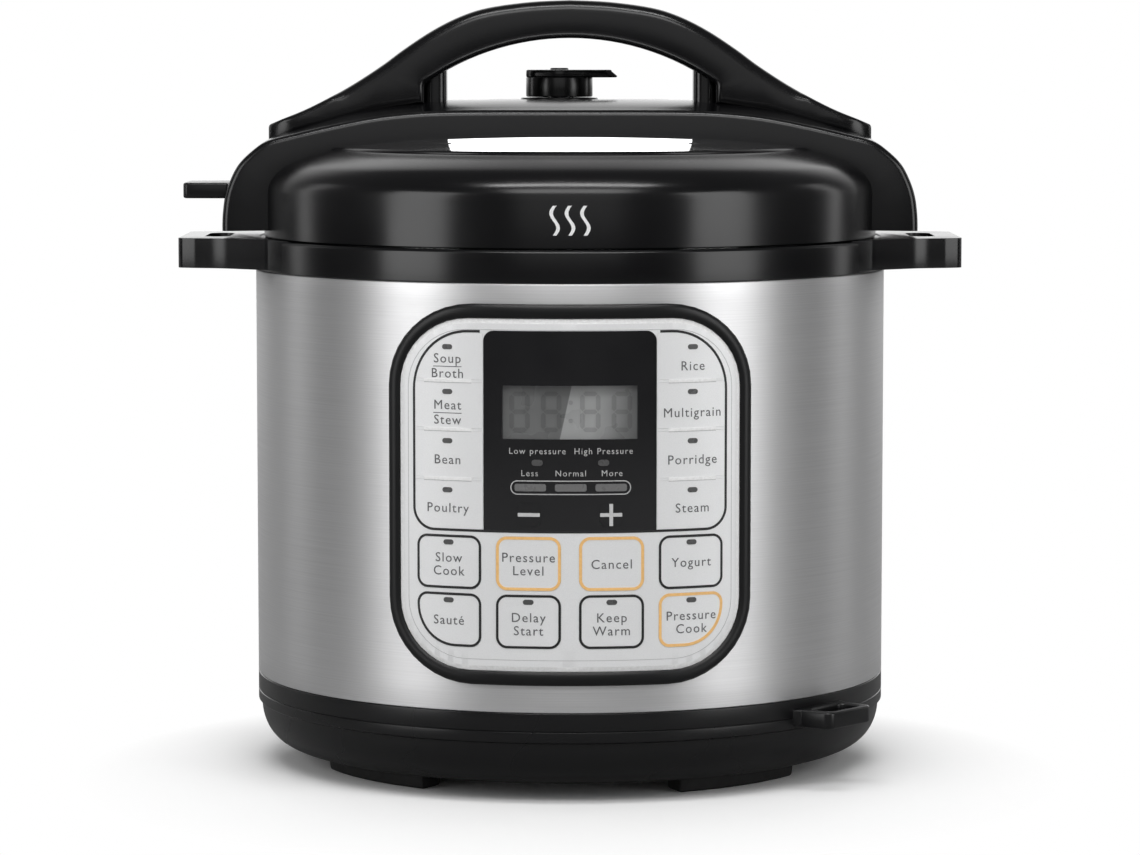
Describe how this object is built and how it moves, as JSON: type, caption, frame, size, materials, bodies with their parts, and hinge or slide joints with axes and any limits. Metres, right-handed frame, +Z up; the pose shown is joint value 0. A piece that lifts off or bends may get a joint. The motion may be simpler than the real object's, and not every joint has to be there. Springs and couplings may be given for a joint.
{
  "type": "electric pressure cooker",
  "caption": "Tall round electric pressure cooker with a steel body band, a curved key panel, side handles, and a locking lid with an arched grip and a steam release knob.",
  "frame": {"origin": "on the body's axis, at the floor under the feet", "axes": "+Z up, the control panel faces -Y, the side handles point along +X and -X"},
  "size_m": [0.3348, 0.2798, 0.3283],
  "materials": {
    "black_plastic": "fine satin moulded texture",
    "gloss_black": "semi gloss",
    "window_black": "high gloss",
    "silver_fascia": "satin silver paint",
    "brushed_band": "brushed round the body",
    "polished_lid": "polished",
    "pot_steel": "spun and satin polished",
    "liner_steel": "plain",
    "cast_aluminium": "machined face",
    "element_steel": "dull",
    "screw_steel": "zinc plated",
    "foot_rubber": "matt",
    "seal_silicone": "translucent white silicone",
    "float_red": "satin",
    "clear_cup": "clear moulded plastic",
    "circuit_green": "solder mask",
    "display_glass": "liquid crystal cell",
    "switch_plastic": "moulded",
    "pin_brass": "plated"
  },
  "bodies": {
    "root": {"base_shell": "black_plastic", "base_feet": "foot_rubber", "foot_screws": "screw_steel", "tie_bolts": "screw_steel", "body_band": "brushed_band", "top_ring": "black_plastic", "spoon_holder": "black_plastic", "panel_frame": "gloss_black", "control_panel": "silver_fascia", "display_window": "window_black", "lcd_module": "display_glass", "control_board": "circuit_green", "key_switches": "switch_plastic", "power_board": "circuit_green", "power_inlet": "black_plastic", "inlet_pins": "pin_brass", "outer_pot": "liner_steel", "heater_plate": "cast_aluminium", "heating_element": "element_steel", "elastic_plate": "liner_steel", "pressure_switch": "switch_plastic", "thermal_fuse": "switch_plastic", "sensor_spring": "screw_steel", "cup_bay": "black_plastic"},
    "sensor": {"temperature_sensor": "cast_aluminium"},
    "cup": {"condensation_cup": "clear_cup"},
    "pot": {"inner_pot": "pot_steel"},
    "seal": {"sealing_ring": "seal_silicone"},
    "lid": {"seal_rack": "liner_steel", "lid_pan": "polished_lid", "lid_ring": "gloss_black", "handle_bridge": "gloss_black", "handle_grip": "gloss_black", "lid_fin": "black_plastic", "lid_screws": "screw_steel", "handle_screws": "screw_steel", "vent_pipe": "screw_steel", "steam_shield": "liner_steel"},
    "float": {"float_valve": "float_red", "float_cap": "seal_silicone"},
    "weight": {"valve_weight": "screw_steel"},
    "knob": {"steam_knob": "gloss_black"},
    "key_soup": {"key_soup": "silver_fascia"},
    "key_rice": {"key_rice": "silver_fascia"},
    "key_slow_cook": {"key_slow_cook": "silver_fascia"},
    "key_saute": {"key_saute": "silver_fascia"},
    "key_meat_stew": {"key_meat_stew": "silver_fascia"},
    "key_multigrain": {"key_multigrain": "silver_fascia"},
    "key_pressure_level": {"key_pressure_level": "silver_fascia"},
    "key_delay_start": {"key_delay_start": "silver_fascia"},
    "key_beans": {"key_beans": "silver_fascia"},
    "key_porridge": {"key_porridge": "silver_fascia"},
    "key_cancel": {"key_cancel": "silver_fascia"},
    "key_keep_warm": {"key_keep_warm": "silver_fascia"},
    "key_poultry": {"key_poultry": "silver_fascia"},
    "key_steam": {"key_steam": "silver_fascia"},
    "key_yogurt": {"key_yogurt": "silver_fascia"},
    "key_pressure_cook": {"key_pressure_cook": "silver_fascia"},
    "key_minus": {"key_minus": "window_black"},
    "key_plus": {"key_plus": "window_black"}
  },
  "joints": [
    {"name": "pot_lift", "type": "slide", "parent": "root", "child": "pot", "axis": [0, 0, 1], "range_m": [0, 0.22]},
    {"name": "lid_lift", "type": "slide", "parent": "pot", "child": "seal", "axis": [0, 0, 1], "range_m": [0, 0.16]},
    {"name": "lid_turn", "type": "hinge", "parent": "seal", "child": "lid", "pos_m": [0, 0, 0.227], "axis": [0, 0, 1], "range_deg": [0, 30]},
    {"name": "knob_lift", "type": "slide", "parent": "lid", "child": "weight", "axis": [0, 0, 1], "range_m": [0, 0.012]},
    {"name": "knob_turn", "type": "hinge", "parent": "weight", "child": "knob", "pos_m": [-0.0047, 0.034, 0.29], "axis": [0, 0, 1], "range_deg": [-40, 40]},
    {"name": "float_rise", "type": "slide", "parent": "lid", "child": "float", "axis": [0, 0, 1], "range_m": [0, 0.005]},
    {"name": "sensor_press", "type": "slide", "parent": "root", "child": "sensor", "axis": [0, 0, 1], "range_m": [-0.002, 0], "stiffness_N_per_m": 500, "springref_m": 0.002, "deforming": ["sensor_spring"]},
    {"name": "cup_pull", "type": "slide", "parent": "root", "child": "cup", "axis": [0, 1, 0], "range_m": [0, 0.045]},
    {"name": "key_soup_press", "type": "slide", "parent": "root", "child": "key_soup", "axis": [0.3608, 0.9326, 0], "range_m": [0, 0.0005], "stiffness_N_per_m": 800},
    {"name": "key_rice_press", "type": "slide", "parent": "root", "child": "key_rice", "axis": [-0.3608, 0.9326, 0], "range_m": [0, 0.0005], "stiffness_N_per_m": 800},
    {"name": "key_slow_cook_press", "type": "slide", "parent": "root", "child": "key_slow_cook", "axis": [0.3608, 0.9326, 0], "range_m": [0, 0.0005], "stiffness_N_per_m": 800},
    {"name": "key_saute_press", "type": "slide", "parent": "root", "child": "key_saute", "axis": [0.3608, 0.9326, 0], "range_m": [0, 0.0005], "stiffness_N_per_m": 800},
    {"name": "key_meat_stew_press", "type": "slide", "parent": "root", "child": "key_meat_stew", "axis": [0.3608, 0.9326, 0], "range_m": [0, 0.0005], "stiffness_N_per_m": 800},
    {"name": "key_multigrain_press", "type": "slide", "parent": "root", "child": "key_multigrain", "axis": [-0.3608, 0.9326, 0], "range_m": [0, 0.0005], "stiffness_N_per_m": 800},
    {"name": "key_pressure_level_press", "type": "slide", "parent": "root", "child": "key_pressure_level", "axis": [0.1227, 0.9924, 0], "range_m": [0, 0.0005], "stiffness_N_per_m": 800},
    {"name": "key_delay_start_press", "type": "slide", "parent": "root", "child": "key_delay_start", "axis": [0.1227, 0.9924, 0], "range_m": [0, 0.0005], "stiffness_N_per_m": 800},
    {"name": "key_beans_press", "type": "slide", "parent": "root", "child": "key_beans", "axis": [0.3608, 0.9326, 0], "range_m": [0, 0.0005], "stiffness_N_per_m": 800},
    {"name": "key_porridge_press", "type": "slide", "parent": "root", "child": "key_porridge", "axis": [-0.3608, 0.9326, 0], "range_m": [0, 0.0005], "stiffness_N_per_m": 800},
    {"name": "key_cancel_press", "type": "slide", "parent": "root", "child": "key_cancel", "axis": [-0.1227, 0.9924, 0], "range_m": [0, 0.0005], "stiffness_N_per_m": 800},
    {"name": "key_keep_warm_press", "type": "slide", "parent": "root", "child": "key_keep_warm", "axis": [-0.1227, 0.9924, 0], "range_m": [0, 0.0005], "stiffness_N_per_m": 800},
    {"name": "key_poultry_press", "type": "slide", "parent": "root", "child": "key_poultry", "axis": [0.3608, 0.9326, 0], "range_m": [0, 0.0005], "stiffness_N_per_m": 800},
    {"name": "key_steam_press", "type": "slide", "parent": "root", "child": "key_steam", "axis": [-0.3608, 0.9326, 0], "range_m": [0, 0.0005], "stiffness_N_per_m": 800},
    {"name": "key_yogurt_press", "type": "slide", "parent": "root", "child": "key_yogurt", "axis": [-0.3608, 0.9326, 0], "range_m": [0, 0.0005], "stiffness_N_per_m": 800},
    {"name": "key_pressure_cook_press", "type": "slide", "parent": "root", "child": "key_pressure_cook", "axis": [-0.3608, 0.9326, 0], "range_m": [0, 0.0005], "stiffness_N_per_m": 800},
    {"name": "key_minus_press", "type": "slide", "parent": "root", "child": "key_minus", "axis": [0.1205, 0.9927, 0], "range_m": [0, 0.0005], "stiffness_N_per_m": 800},
    {"name": "key_plus_press", "type": "slide", "parent": "root", "child": "key_plus", "axis": [-0.1205, 0.9927, 0], "range_m": [0, 0.0005], "stiffness_N_per_m": 800}
  ]
}
